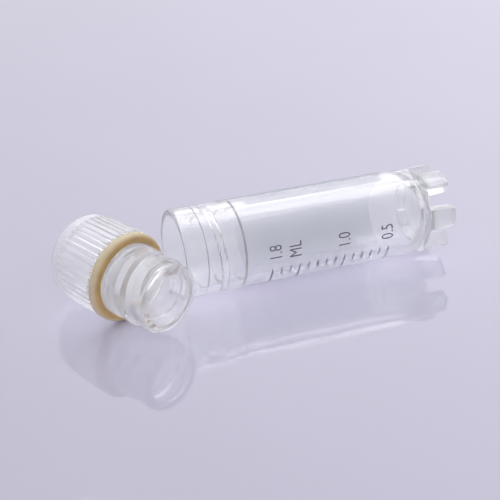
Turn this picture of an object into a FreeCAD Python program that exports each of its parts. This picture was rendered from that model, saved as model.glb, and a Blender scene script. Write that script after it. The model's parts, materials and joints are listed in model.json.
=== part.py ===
"""Cryovial with an internal thread, a star foot and its cap, which lies unscrewed beside the mouth.

Lengths are millimetres and angles degrees. The tube's axis is the X axis: the origin is the centre of
its mouth, +X points to its foot and +Z is up. Tube and cap both lie on the level one tube radius below.
"""
import FreeCAD, Part
import Sketcher

import math
import os

DRIVING_SIZES = [
    # name, value, what it is
    ("tube_length", 40.2, "mouth to the ends of the foot's fins"),
    ("tube_radius", 6.25, "outside of the barrel and of the foot"),
    ("foot_length", 3.9, "the gaps between the foot's fins, along the tube"),
    ("bottom_height", 0.99, "the round bottom above the fins' ends, with the tube stood on them"),
    ("wall_thickness", 1.39, "wall of the chamber"),
    ("bottom_thickness", 1.25, "wall of the round bottom"),
    ("lip_bevel", 0.25, "bevel of the mouth's outer edge"),
    ("mouth_wall", 0.9, "wall of the mouth round its smooth bore"),
    ("mouth_smooth_length", 3.0, "smooth bore that takes the plug's neck, ahead of the thread"),
    ("mouth_step", 0.2, "how far the thread's bore stands in from the smooth bore"),
    ("mouth_step_length", 0.2, "cone from the smooth bore down to the thread's bore"),
    ("shoulder_length", 0.4, "cone from the thread's bore down to the chamber"),
    ("fin_count", 6, "fins of the star foot"),
    ("fin_width", 3.2, "thickness of a fin round the foot"),
    ("fin_depth", 2.35, "a fin from the barrel's outside in to the open middle of the foot"),
    ("fin_root", 1.2, "length of a fin inside the barrel's wall"),
    ("fin_draft", 2.5, "draft of a fin's sides"),
    ("fin_turn", 49.0, "place of the first fin round the tube, from the side that carries the patch"),
    ("fin_edge", 0.22, "bevel round a fin's end"),
    ("neck_clearance", 0.32, "room between the plug's neck and the mouth's smooth bore"),
    ("thread_clearance", 0.2, "room between a ridge's crest and the wall that it faces"),
    ("plug_end_clearance", 0.73, "room between the seated plug and the shoulder below it"),
    ("thread_pitch", 3.0, "pitch of the coarse thread, on the plug and in the mouth"),
    ("thread_height", 0.5, "how far the plug's ridge stands out"),
    ("weld", 0.12, "depth that a ridge reaches into the wall it stands on"),
    ("mouth_thread_start", 3.95, "mouth to the middle of the ridge's first end"),
    ("mouth_thread_turns", 1.2, "turns of the ridge in the mouth"),
    ("mouth_ridge_base", 1.25, "width of the mouth's ridge at the bore"),
    ("mouth_ridge_crest", 0.75, "width of the mouth's ridge at its crest"),
    ("plug_thread_start", 2.93, "seat of the washer to the middle of the ridge's first end"),
    ("plug_thread_turns", 1.45, "turns of the ridge on the plug"),
    ("plug_ridge_base", 1.9, "width of the plug's ridge at the root"),
    ("plug_ridge_crest", 1.25, "width of the plug's ridge at its crest"),
    ("cap_length", 8.8, "closed end of the cap's head to the seat of the washer"),
    ("head_step", 0.33, "how far the head, between its ribs, stays inside the barrel's outside"),
    ("head_round", 1.1, "rounding of the head's outer end"),
    ("rib_count", 42, "grip ribs round the head"),
    ("rib_height", 0.3, "how far a rib stands out at the washer"),
    ("rib_end_height", 0.16, "how far a rib stands out at its far end"),
    ("rib_width", 0.42, "a rib round the head"),
    ("rib_start", 1.8, "closed end to where the ribs begin"),
    ("rib_ramp", 0.3, "slope at a rib's far end"),
    ("head_wall", 1.07, "wall of the head round the seat for a colour disc in its end"),
    ("recess_depth", 1.7, "depth of that seat"),
    ("recess_ledge", 0.5, "ledge that the disc rests on"),
    ("floor_thickness", 1.2, "web that closes the plug off from the head's hollow"),
    ("floor_place", 9.0, "closed end to the middle of that web"),
    ("plug_length", 8.8, "the plug, from the seat of the washer to its rim"),
    ("neck_length", 2.3, "seat of the washer to the end of the plug's smooth neck"),
    ("neck_taper", 0.9, "cone from the neck down to the thread's root"),
    ("plug_wall", 1.05, "wall of the plug between the turns of its thread"),
    ("rim_step", 0.23, "how far the bead at the plug's rim stands out"),
    ("rim_length", 0.9, "length of that bead"),
    ("rim_bevel", 0.25, "bevel of the rim's outer edge"),
    ("washer_thickness", 1.2, "the washer between the head and the tube's rim"),
    ("washer_step", 0.05, "how far the washer stays inside the barrel's outside"),
    ("washer_groove", 0.28, "depth of the groove in the neck that holds the washer"),
    ("washer_bevel", 0.5, "bevel of the washer's front edge"),
    ("cap_gap", 2.2, "back edge of the washer ahead of the mouth, as the cap lies"),
    ("cap_aside", 3.42, "centre of the washer's seat in from the barrel's near side"),
    ("cap_turn", -64.9, "turn of the plug's direction from the tube's"),
    ("print_thickness", 0.05, "film of ink"),
    ("patch_start", 10.9, "mouth to the writing patch"),
    ("patch_foot_gap", 8.3, "writing patch to the ends of the fins"),
    ("patch_angle", 154.0, "the patch round the tube"),
    ("scale_lowest", 500.0, "volume at the lowest mark, cubic millimetres"),
    ("scale_highest", 1800.0, "volume at the highest mark"),
    ("scale_step", 100.0, "volume between two marks"),
    ("scale_turn", 194.0, "upper end of the marks round the tube, from the patch's middle"),
    ("tick_width", 0.16, "a mark along the tube"),
    ("long_tick_angle", 28.0, "a long mark round the tube"),
    ("short_tick_angle", 13.0, "a short mark round the tube"),
]

FITTED_SIZES = [
    # name, formula, what it is
    ("barrel_length", "Sizes.tube_length - Sizes.foot_length", "mouth to the end of the barrel's wall"),
    ("chamber_radius", "Sizes.tube_radius - Sizes.wall_thickness", "bore of the chamber"),
    ("dome_radius", "chamber_radius + Sizes.bottom_thickness", "outside of the round bottom"),
    ("dome_end", "Sizes.tube_length - Sizes.bottom_height", "mouth to the round bottom's outside"),
    ("chamber_depth", "dome_end - dome_radius", "mouth to where the round bottom begins"),
    ("chamber_bottom", "chamber_depth + chamber_radius", "mouth to the chamber's lowest point"),
    ("dome_edge", "sqrt(dome_radius ^ 2 - (barrel_length - chamber_depth) ^ 2)",
     "round bottom where it leaves the barrel's end"),
    ("lip_radius", "Sizes.tube_radius - Sizes.lip_bevel", "flat of the mouth's rim"),
    ("mouth_radius", "Sizes.tube_radius - Sizes.mouth_wall", "smooth bore of the mouth"),
    ("thread_bore_radius", "mouth_radius - Sizes.mouth_step", "bore that carries the thread"),
    ("thread_bore_start", "Sizes.mouth_smooth_length + Sizes.mouth_step_length", "mouth to that bore"),
    ("mouth_depth", "Sizes.plug_length - Sizes.washer_thickness + Sizes.plug_end_clearance",
     "mouth to the shoulder"),
    ("shoulder_end", "mouth_depth + Sizes.shoulder_length", "mouth to the chamber"),
    ("fin_start", "barrel_length - Sizes.fin_root", "mouth to a fin's hidden end"),
    ("fin_length", "Sizes.tube_length - fin_start", "a fin with its hidden end"),
    ("fin_inner_radius", "Sizes.tube_radius - Sizes.fin_depth", "inner edge of a fin"),
    ("fin_bevel_start", "Sizes.tube_length - Sizes.fin_edge", "mouth to the bevel of the fins' ends"),
    ("fin_end_radius", "Sizes.tube_radius - Sizes.fin_edge", "flat ends of the fins"),
    ("fin_reach", "Sizes.tube_radius + fin_length * tan(Sizes.fin_draft * 1deg)",
     "outer side of a fin before it is turned down to the barrel"),
    ("turning_radius", "fin_reach + Sizes.tube_radius", "outside of what is turned away round the fins"),
    ("plug_neck_radius", "mouth_radius - Sizes.neck_clearance", "smooth neck that fills the mouth"),
    ("plug_crest_radius", "thread_bore_radius - Sizes.thread_clearance", "crest of the plug's ridge"),
    ("plug_root_radius", "plug_crest_radius - Sizes.thread_height", "plug between the turns of its thread"),
    ("plug_bore_radius", "plug_root_radius - Sizes.plug_wall", "hollow of the plug"),
    ("mouth_crest_radius", "plug_root_radius + Sizes.thread_clearance", "crest of the mouth's ridge"),
    ("mouth_foot_radius", "thread_bore_radius + Sizes.weld", "foot of the mouth's ridge, in its wall"),
    ("mouth_foot_start", "Sizes.mouth_thread_start - Sizes.mouth_ridge_base / 2", "mouth to that foot"),
    ("mouth_foot_end", "Sizes.mouth_thread_start + Sizes.mouth_ridge_base / 2", "mouth to its far side"),
    ("mouth_crest_start", "Sizes.mouth_thread_start - Sizes.mouth_ridge_crest / 2", "mouth to the crest"),
    ("mouth_crest_end", "Sizes.mouth_thread_start + Sizes.mouth_ridge_crest / 2",
     "mouth to the crest's far side"),
    ("plug_foot_radius", "plug_root_radius - Sizes.weld", "foot of the plug's ridge, in its wall"),
    ("plug_thread_place", "Sizes.cap_length + Sizes.plug_thread_start", "closed end to the plug's ridge"),
    ("plug_foot_start", "plug_thread_place - Sizes.plug_ridge_base / 2", "closed end to its foot"),
    ("plug_foot_end", "plug_thread_place + Sizes.plug_ridge_base / 2", "closed end to its foot's far side"),
    ("plug_crest_start", "plug_thread_place - Sizes.plug_ridge_crest / 2", "closed end to its crest"),
    ("plug_crest_end", "plug_thread_place + Sizes.plug_ridge_crest / 2",
     "closed end to its crest's far side"),
    ("head_radius", "Sizes.tube_radius - Sizes.head_step", "the head between its ribs"),
    ("head_flat_radius", "head_radius - Sizes.head_round", "flat of the head's end"),
    ("rib_crest_radius", "head_radius + Sizes.rib_height", "crest of the ribs at the washer"),
    ("rib_end_radius", "head_radius + Sizes.rib_end_height", "crest of the ribs at the far end"),
    ("rib_core_radius", "head_radius - Sizes.rib_height", "foot of a rib, inside the head's wall"),
    ("rib_crest_start", "Sizes.rib_start + Sizes.rib_ramp", "closed end to a rib's full height"),
    ("recess_radius", "head_radius - Sizes.head_wall", "seat for a colour disc"),
    ("core_radius", "recess_radius - Sizes.recess_ledge", "hollow of the head below the seat"),
    ("core_floor", "Sizes.floor_place - Sizes.floor_thickness / 2", "closed end to the web"),
    ("bore_floor", "Sizes.floor_place + Sizes.floor_thickness / 2", "closed end to the plug's hollow"),
    ("neck_end", "Sizes.cap_length + Sizes.neck_length", "closed end to the end of the neck"),
    ("root_start", "neck_end + Sizes.neck_taper", "closed end to the thread's root"),
    ("plug_end", "Sizes.cap_length + Sizes.plug_length", "closed end to the plug's rim"),
    ("rim_start", "plug_end - Sizes.rim_length", "closed end to the rim's bead"),
    ("rim_bead_start", "rim_start + Sizes.rim_bevel", "closed end to the bead's full size"),
    ("rim_bead_end", "plug_end - Sizes.rim_bevel", "closed end to the bead's outer bevel"),
    ("rim_radius", "plug_root_radius + Sizes.rim_step", "bead at the plug's rim"),
    ("rim_end_radius", "rim_radius - Sizes.rim_bevel", "outside of the rim's flat end"),
    ("washer_seat_radius", "plug_neck_radius - Sizes.washer_groove", "groove that holds the washer"),
    ("washer_end", "Sizes.cap_length + Sizes.washer_thickness", "closed end to the washer's face"),
    ("washer_bevel_start", "washer_end - Sizes.washer_bevel", "closed end to the washer's bevel"),
    ("washer_radius", "Sizes.tube_radius - Sizes.washer_step", "outside of the washer"),
    ("washer_flat_radius", "washer_radius - Sizes.washer_bevel", "flat of the washer's face"),
    ("cap_height", "rib_crest_radius - Sizes.tube_radius", "cap's axis above the tube's"),
    ("seat_x", "washer_radius * sin(Sizes.cap_turn * 1deg) - Sizes.cap_gap",
     "centre of the washer's seat, along the tube"),
    ("seat_y", "Sizes.cap_aside - Sizes.tube_radius", "centre of the washer's seat, across the tube"),
    ("cap_origin_x", "seat_x - Sizes.cap_length * cos(Sizes.cap_turn * 1deg)",
     "centre of the cap's closed end"),
    ("cap_origin_y", "seat_y - Sizes.cap_length * sin(Sizes.cap_turn * 1deg)",
     "centre of the cap's closed end"),
    ("print_radius", "Sizes.tube_radius + Sizes.print_thickness", "outside of the ink"),
    ("patch_end", "Sizes.tube_length - Sizes.patch_foot_gap", "mouth to the writing patch's far end"),
]

LONG_TICK_VOLUMES = (500.0, 1000.0, 1500.0, 1800.0)
AXIS = FreeCAD.Vector(1, 0, 0)
ORIGIN = FreeCAD.Vector(0, 0, 0)

document = FreeCAD.newDocument("Cryovial")


def fill_sheet(name, rows, start):
    """Write rows of (name, content, meaning) into a new spreadsheet, each content under its name."""
    sheet = document.addObject("Spreadsheet::Sheet", name)
    for number, (alias, content, meaning) in enumerate(rows, 1):
        sheet.set(f"A{number}", alias)
        sheet.set(f"B{number}", f"{start}{content}")
        sheet.set(f"C{number}", meaning)
        sheet.setAlias(f"B{number}", alias)
    document.recompute()


def read(name):
    """Return the number under a name such as Sizes.tube_radius."""
    sheet_name, alias = name.split(".")
    return float(document.getObject(sheet_name).get(alias))


def new_body(label):
    """Make the PartDesign body that holds one moulded piece."""
    body = document.addObject("PartDesign::Body", label)
    body.Label = label
    return body


def new_sketch(body, name, plane_role):
    """Attach an empty sketch to one of the body's own origin planes."""
    sketch = body.newObject("Sketcher::SketchObject", name)
    plane = next(item for item in body.Origin.OriginFeatures if item.Role == plane_role)
    sketch.AttachmentSupport = [(plane, "")]
    sketch.MapMode = "FlatFace"
    return sketch


def hold(sketch, kind, geometry, point, size):
    """Hold one coordinate of a sketch point: on the axis if size is empty, else at a sheet's value."""
    if not size:
        axis = -2 if kind == "DistanceX" else -1
        sketch.addConstraint(Sketcher.Constraint("PointOnObject", geometry, point, axis))
        return
    index = sketch.addConstraint(Sketcher.Constraint(kind, -1, 1, geometry, point, read(size)))
    sketch.setExpression(f"Constraints[{index}]", size)


def add_side(sketch, first, last, radius):
    """Add a line, or an arc bulging to the left of its way, and return its index and its two ends."""
    if not radius:
        return sketch.addGeometry(Part.LineSegment(first, last)), 1, 2
    chord = last - first
    reach = math.sqrt(radius ** 2 - (chord.Length / 2) ** 2)
    sideways = FreeCAD.Vector(chord.y, -chord.x, 0).normalize()
    centre = (first + last) * 0.5 + sideways * reach
    circle = Part.Circle(centre, FreeCAD.Vector(0, 0, 1), radius)
    first_angle = math.atan2(first.y - centre.y, first.x - centre.x)
    last_angle = math.atan2(last.y - centre.y, last.x - centre.x)
    return sketch.addGeometry(Part.ArcOfCircle(circle, last_angle, first_angle)), 2, 1


def draw_outline(sketch, corners):
    """Draw a closed outline, clockwise, with each corner held by sheet values.

    A corner is (x, y) or (x, y, radius), in names of values or "" for zero. A radius makes the side
    that leaves the corner an arc, bulging outwards.
    """
    places = [FreeCAD.Vector(read(c[0]) if c[0] else 0, read(c[1]) if c[1] else 0, 0) for c in corners]
    sides = []
    for number, corner in enumerate(corners):
        following = places[(number + 1) % len(places)]
        radius = read(corner[2]) if len(corner) > 2 else 0
        sides.append(add_side(sketch, places[number], following, radius))
    for number, (side, _, end) in enumerate(sides):
        following, start, _ = sides[(number + 1) % len(sides)]
        sketch.addConstraint(Sketcher.Constraint("Coincident", side, end, following, start))
    for corner, (side, start, _) in zip(corners, sides):
        hold(sketch, "DistanceX", side, start, corner[0])
        hold(sketch, "DistanceY", side, start, corner[1])
        if len(corner) > 2:
            index = sketch.addConstraint(Sketcher.Constraint("Radius", side, read(corner[2])))
            sketch.setExpression(f"Constraints[{index}]", corner[2])


def turn_outline(body, kind, name, corners, angle=""):
    """Turn an outline about the body's X axis: a Revolution adds it and a Groove cuts it away.

    An angle's name turns it only that far, half to either side.
    """
    sketch = new_sketch(body, f"{name}_outline", "XY_Plane")
    draw_outline(sketch, corners)
    document.recompute()
    before = body.Shape.Volume if kind == "Groove" else 0
    feature = body.newObject(f"PartDesign::{kind}", name)
    feature.Profile = sketch
    feature.ReferenceAxis = (sketch, ["H_Axis"])
    feature.Angle = 360
    if angle:
        feature.Midplane = True
        feature.setExpression("Angle", angle)
    document.recompute()
    if kind == "Groove" and feature.Shape.Volume >= before:
        raise RuntimeError(f"{name} cuts nothing away")
    return feature


def repeat_round(body, feature, name, count):
    """Repeat a feature evenly round the body's X axis."""
    axis = next(item for item in body.Origin.OriginFeatures if item.Role == "X_Axis")
    pattern = body.newObject("PartDesign::PolarPattern", name)
    pattern.Originals = [feature]
    pattern.Axis = (axis, [""])
    pattern.Angle = 360
    pattern.setExpression("Occurrences", count)
    body.Tip = pattern
    document.recompute()
    return pattern


def wind_ridge(body, name, wall):
    """Wind a thread's ridge round the X axis, from a foot inside its wall to its crest."""
    sketch = new_sketch(body, f"{name}_section", "XY_Plane")
    draw_outline(sketch, [
        (f"Fits.{wall}_foot_start", f"Fits.{wall}_foot_radius"),
        (f"Fits.{wall}_foot_end", f"Fits.{wall}_foot_radius"),
        (f"Fits.{wall}_crest_end", f"Fits.{wall}_crest_radius"),
        (f"Fits.{wall}_crest_start", f"Fits.{wall}_crest_radius"),
    ])
    document.recompute()
    before = body.Shape.Volume
    ridge = body.newObject("PartDesign::AdditiveHelix", name)
    ridge.Profile = sketch
    ridge.ReferenceAxis = (sketch, ["H_Axis"])
    ridge.Mode = "pitch-turns-angle"
    ridge.setExpression("Pitch", "Sizes.thread_pitch")
    ridge.setExpression("Turns", f"Sizes.{wall}_thread_turns")
    document.recompute()
    if ridge.Shape.Volume <= before:
        raise RuntimeError(f"{name} adds nothing")
    return ridge


def build_tube():
    """Model the tube: a solid form, its fins, and then the chamber and the mouth cut out of it."""
    body = new_body("tube")
    turn_outline(body, "Revolution", "barrel", [
        ("", ""),
        ("", "Fits.lip_radius"),
        ("Sizes.lip_bevel", "Sizes.tube_radius"),
        ("Fits.barrel_length", "Sizes.tube_radius"),
        ("Fits.barrel_length", "Fits.dome_edge", "Fits.dome_radius"),
        ("Fits.dome_end", ""),
    ])
    add_fins(body)
    turn_outline(body, "Groove", "chamber", [
        ("", ""),
        ("", "Fits.mouth_radius"),
        ("Sizes.mouth_smooth_length", "Fits.mouth_radius"),
        ("Fits.thread_bore_start", "Fits.thread_bore_radius"),
        ("Fits.mouth_depth", "Fits.thread_bore_radius"),
        ("Fits.shoulder_end", "Fits.chamber_radius"),
        ("Fits.chamber_depth", "Fits.chamber_radius", "Fits.chamber_radius"),
        ("Fits.chamber_bottom", ""),
    ])
    wind_ridge(body, "mouth_thread", "mouth")
    return body


def add_fins(body):
    """Stand the star foot's drafted fins round the bottom and turn them down to the barrel's outside."""
    sketch = new_sketch(body, "fin_section", "YZ_Plane")
    turn = FreeCAD.Rotation(FreeCAD.Vector(0, 0, 1), read("Sizes.fin_turn"))
    sketch.AttachmentOffset = FreeCAD.Placement(FreeCAD.Vector(0, 0, read("Fits.fin_start")), turn)
    sketch.setExpression("AttachmentOffset.Base.z", "Fits.fin_start")
    sketch.setExpression("AttachmentOffset.Rotation.Angle", "Sizes.fin_turn")
    half_width = read("Sizes.fin_width") / 2
    inner = read("Fits.fin_inner_radius")
    outer = read("Fits.fin_reach")
    corners = [
        FreeCAD.Vector(inner, -half_width, 0),
        FreeCAD.Vector(inner, half_width, 0),
        FreeCAD.Vector(outer, half_width, 0),
        FreeCAD.Vector(outer, -half_width, 0),
    ]
    for number, corner in enumerate(corners):
        sketch.addGeometry(Part.LineSegment(corner, corners[(number + 1) % 4]))
    for number in range(4):
        sketch.addConstraint(Sketcher.Constraint("Coincident", number, 2, (number + 1) % 4, 1))
    sketch.addConstraint(Sketcher.Constraint("Symmetric", 0, 1, 0, 2, -1))
    sketch.addConstraint(Sketcher.Constraint("Horizontal", 1))
    sketch.addConstraint(Sketcher.Constraint("Vertical", 2))
    sketch.addConstraint(Sketcher.Constraint("Horizontal", 3))
    hold(sketch, "DistanceX", 0, 1, "Fits.fin_inner_radius")
    hold(sketch, "DistanceX", 2, 1, "Fits.fin_reach")
    width = sketch.addConstraint(Sketcher.Constraint("DistanceY", 0, 1, 0, 2, 2 * half_width))
    sketch.setExpression(f"Constraints[{width}]", "Sizes.fin_width")
    document.recompute()
    fin = body.newObject("PartDesign::Pad", "fin")
    fin.Profile = sketch
    fin.setExpression("Length", "Fits.fin_length")
    fin.setExpression("TaperAngle", "-Sizes.fin_draft")
    document.recompute()
    bevel_ends(body, repeat_round(body, fin, "fins", "Sizes.fin_count"))
    turn_outline(body, "Groove", "turned_foot", [
        ("Fits.fin_start", "Sizes.tube_radius"),
        ("Fits.fin_start", "Fits.turning_radius"),
        ("Sizes.tube_length", "Fits.turning_radius"),
        ("Sizes.tube_length", "Fits.fin_end_radius"),
        ("Fits.fin_bevel_start", "Sizes.tube_radius"),
    ])


def bevel_ends(body, feature):
    """Bevel the edges round the fins' free ends."""
    end = read("Sizes.tube_length")
    names = []
    for number, edge in enumerate(feature.Shape.Edges, 1):
        if all(abs(vertex.X - end) < 0.001 for vertex in edge.Vertexes):
            names.append(f"Edge{number}")
    bevel = body.newObject("PartDesign::Chamfer", "fin_bevels")
    bevel.Base = (feature, names)
    bevel.setExpression("Size", "Sizes.fin_edge")
    document.recompute()


def place_cap(body):
    """Lay a piece of the cap beside the mouth, its own X axis along the plug."""
    body.Placement = FreeCAD.Placement(ORIGIN, FreeCAD.Rotation(FreeCAD.Vector(0, 0, 1), 1))
    body.setExpression("Placement.Base.x", "Fits.cap_origin_x")
    body.setExpression("Placement.Base.y", "Fits.cap_origin_y")
    body.setExpression("Placement.Base.z", "Fits.cap_height")
    body.setExpression("Placement.Rotation.Angle", "Sizes.cap_turn")
    document.recompute()


def build_cap():
    """Model the cap: the head with its ribs and the plug with its thread, hollow from both ends."""
    body = new_body("cap")
    turn_outline(body, "Revolution", "head_and_plug", [
        ("", ""),
        ("", "Fits.head_flat_radius", "Sizes.head_round"),
        ("Sizes.head_round", "Fits.head_radius"),
        ("Sizes.cap_length", "Fits.head_radius"),
        ("Sizes.cap_length", "Fits.washer_seat_radius"),
        ("Fits.washer_end", "Fits.washer_seat_radius"),
        ("Fits.washer_end", "Fits.plug_neck_radius"),
        ("Fits.neck_end", "Fits.plug_neck_radius"),
        ("Fits.root_start", "Fits.plug_root_radius"),
        ("Fits.rim_start", "Fits.plug_root_radius"),
        ("Fits.rim_bead_start", "Fits.rim_radius"),
        ("Fits.rim_bead_end", "Fits.rim_radius"),
        ("Fits.plug_end", "Fits.rim_end_radius"),
        ("Fits.plug_end", ""),
    ])
    add_ribs(body)
    turn_outline(body, "Groove", "head_hollow", [
        ("", ""),
        ("", "Fits.recess_radius"),
        ("Sizes.recess_depth", "Fits.recess_radius"),
        ("Sizes.recess_depth", "Fits.core_radius"),
        ("Fits.core_floor", "Fits.core_radius"),
        ("Fits.core_floor", ""),
    ])
    turn_outline(body, "Groove", "plug_hollow", [
        ("Fits.bore_floor", ""),
        ("Fits.bore_floor", "Fits.plug_bore_radius"),
        ("Fits.plug_end", "Fits.plug_bore_radius"),
        ("Fits.plug_end", ""),
    ])
    wind_ridge(body, "plug_thread", "plug")
    place_cap(body)
    return body


def add_ribs(body):
    """Set the grip ribs round the head, each a thin pad that slopes away at its far end."""
    sketch = new_sketch(body, "rib_outline", "XY_Plane")
    draw_outline(sketch, [
        ("Sizes.rib_start", "Fits.rib_core_radius"),
        ("Fits.rib_crest_start", "Fits.rib_end_radius"),
        ("Sizes.cap_length", "Fits.rib_crest_radius"),
        ("Sizes.cap_length", "Fits.rib_core_radius"),
    ])
    document.recompute()
    rib = body.newObject("PartDesign::Pad", "rib")
    rib.Profile = sketch
    rib.Midplane = True
    rib.setExpression("Length", "Sizes.rib_width")
    document.recompute()
    repeat_round(body, rib, "ribs", "Sizes.rib_count")


def build_washer():
    """Model the sealing washer, seated on the plug's neck against the head."""
    body = new_body("washer")
    turn_outline(body, "Revolution", "ring", [
        ("Sizes.cap_length", "Fits.washer_seat_radius"),
        ("Sizes.cap_length", "Fits.washer_radius"),
        ("Fits.washer_bevel_start", "Fits.washer_radius"),
        ("Fits.washer_end", "Fits.washer_flat_radius"),
        ("Fits.washer_end", "Fits.washer_seat_radius"),
    ])
    place_cap(body)
    return body


def print_mark(place, angle):
    """Return one mark of the scale, a film of ink on the barrel, from its upper end downwards."""
    half_width = read("Sizes.tick_width") / 2
    inner = read("Sizes.tube_radius")
    outer = read("Fits.print_radius")
    corners = [
        FreeCAD.Vector(place - half_width, inner, 0),
        FreeCAD.Vector(place - half_width, outer, 0),
        FreeCAD.Vector(place + half_width, outer, 0),
        FreeCAD.Vector(place + half_width, inner, 0),
    ]
    section = Part.Face(Part.makePolygon(corners + corners[:1]))
    section.rotate(ORIGIN, AXIS, read("Sizes.scale_turn"))
    return section.revolve(ORIGIN, AXIS, angle)


def scale_place(volume):
    """Return the distance from the mouth to the level of a volume, with the tube stood on its foot."""
    radius = read("Fits.chamber_radius")
    round_bottom = 2 / 3 * math.pi * radius ** 3
    return read("Fits.chamber_depth") - (volume - round_bottom) / (math.pi * radius ** 2)


def build_patch():
    """Print the writing patch, centred on the side of the tube that faces +Y."""
    body = new_body("writing_patch")
    turn_outline(body, "Revolution", "field", [
        ("Sizes.patch_start", "Sizes.tube_radius"),
        ("Sizes.patch_start", "Fits.print_radius"),
        ("Fits.patch_end", "Fits.print_radius"),
        ("Fits.patch_end", "Sizes.tube_radius"),
    ], "Sizes.patch_angle")
    return body


def build_graduation():
    """Print the scale's marks, each at the level of its volume, and the long ones at round volumes."""
    lowest = read("Sizes.scale_lowest")
    step = read("Sizes.scale_step")
    count = round((read("Sizes.scale_highest") - lowest) / step) + 1
    marks = []
    for number in range(count):
        volume = lowest + number * step
        size = "Sizes.long_tick_angle" if volume in LONG_TICK_VOLUMES else "Sizes.short_tick_angle"
        marks.append(print_mark(scale_place(volume), read(size)))
    feature = document.addObject("Part::Feature", "graduation")
    feature.Label = "graduation"
    feature.Shape = Part.makeCompound(marks)
    feature.Placement = FreeCAD.Placement(ORIGIN, FreeCAD.Rotation(AXIS, 0))
    return feature


def check_objects(pieces):
    """Stop if an object of the document failed or a piece has no sound shape."""
    for item in document.Objects:
        if "Invalid" in item.State or "Error" in item.State:
            raise RuntimeError(f"{item.Label} failed to compute")
    for piece in pieces:
        if piece.Shape.isNull() or not piece.Shape.isValid():
            raise RuntimeError(f"{piece.Label} has no sound shape")


def main():
    """Build every piece, check it and write it to parts."""
    fill_sheet("Sizes", DRIVING_SIZES, "")
    fill_sheet("Fits", FITTED_SIZES, "=")
    pieces = [build_tube(), build_cap(), build_washer(), build_patch(), build_graduation()]
    document.recompute()
    check_objects(pieces)
    os.makedirs("parts", exist_ok=True)
    for piece in pieces:
        piece.Shape.exportStep(f"parts/{piece.Label}.step")
        print(f"{piece.Label}: {len(piece.Shape.Solids)} solids, {piece.Shape.Volume:.2f} mm3")


main()
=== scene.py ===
"""Finished look of the cryovial: a clear star-foot tube beside its unscrewed, ribbed cap."""

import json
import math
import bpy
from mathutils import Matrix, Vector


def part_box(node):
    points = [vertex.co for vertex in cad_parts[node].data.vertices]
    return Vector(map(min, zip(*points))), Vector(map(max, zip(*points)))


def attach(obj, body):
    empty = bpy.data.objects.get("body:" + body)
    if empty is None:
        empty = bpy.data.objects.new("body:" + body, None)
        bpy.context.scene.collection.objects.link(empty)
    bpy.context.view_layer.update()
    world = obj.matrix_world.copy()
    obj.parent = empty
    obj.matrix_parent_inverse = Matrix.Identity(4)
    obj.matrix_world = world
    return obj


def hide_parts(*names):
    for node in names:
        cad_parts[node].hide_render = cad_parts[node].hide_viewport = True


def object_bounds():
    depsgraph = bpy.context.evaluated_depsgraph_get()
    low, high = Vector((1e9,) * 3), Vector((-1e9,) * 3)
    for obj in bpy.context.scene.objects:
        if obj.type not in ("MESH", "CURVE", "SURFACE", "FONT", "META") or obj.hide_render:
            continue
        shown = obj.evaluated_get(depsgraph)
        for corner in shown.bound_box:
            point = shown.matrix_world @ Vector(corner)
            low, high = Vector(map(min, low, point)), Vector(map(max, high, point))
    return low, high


bl_info = {
    "name": "Cryovial",
    "version": (1, 0, 0),
    "blender": (4, 5, 0),
    "location": "View3D > Sidebar > Cryovial",
    "description": "Models a clear cryovial and its unscrewed cap on their packed frame",
    "category": "Mesh",
}

import bpy
from mathutils import Matrix, Vector

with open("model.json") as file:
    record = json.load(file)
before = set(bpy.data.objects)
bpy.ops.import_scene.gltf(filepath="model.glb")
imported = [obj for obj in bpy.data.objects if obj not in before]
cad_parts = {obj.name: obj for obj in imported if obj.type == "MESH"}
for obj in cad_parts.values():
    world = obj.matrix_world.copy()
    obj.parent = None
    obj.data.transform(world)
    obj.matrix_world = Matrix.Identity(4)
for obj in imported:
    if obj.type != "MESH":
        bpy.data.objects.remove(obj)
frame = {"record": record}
PLAIN_LOW, PLAIN_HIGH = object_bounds()

MM = 0.001
FULL_TURN = math.tau


def find_mount(name):
    """Return the record's mount of that name."""
    for mount in frame["record"]["mounts"]:
        if mount["name"] == name:
            return mount
    raise RuntimeError(f"the record has no mount {name}")


TUBE_LOW, TUBE_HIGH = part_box("tube")
PATCH_LOW, PATCH_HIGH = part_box("writing_patch")
SCALE_LOW, SCALE_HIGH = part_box("graduation")
BARREL_RADIUS = find_mount("barrel")["dims"]["r_mm"] * MM
MOUTH_RADIUS = find_mount("mouth")["dims"]["r_mm"] * MM
NECK_RADIUS = find_mount("plug_neck")["dims"]["r_mm"] * MM
NECK_PLACE = 10.55 * MM  # closed end of the cap to the plug neck's mount
CAP_SEAT = 8.8 * MM  # closed end of the cap to the washer's seat
THREAD_PITCH = 3.0 * MM
INK_RADIUS = BARREL_RADIUS + 0.004 * MM  # underside of the ink, just clear of the barrel


# Settings


class TubeSettings(bpy.types.PropertyGroup):
    """Sizes and colour of the clear tube."""

    steps: bpy.props.IntProperty(
        name="Steps round", description="Faces round the tube", default=240, min=48, max=480,
        subtype="UNSIGNED",
    )
    thread_height: bpy.props.FloatProperty(
        name="Ridge height", description="How far the mouth's ridge stands in from its bore",
        default=0.5 * MM, unit="LENGTH", precision=5,
    )
    fin_edge: bpy.props.FloatProperty(
        name="Fin edge", description="Rounding of the fins' edges",
        default=0.16 * MM, unit="LENGTH", precision=5,
    )
    tint: bpy.props.FloatVectorProperty(
        name="Tint", description="Colour of the clear plastic", default=(0.975, 0.978, 0.985),
        size=3, subtype="COLOR", min=0.0, max=1.0,
    )


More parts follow.
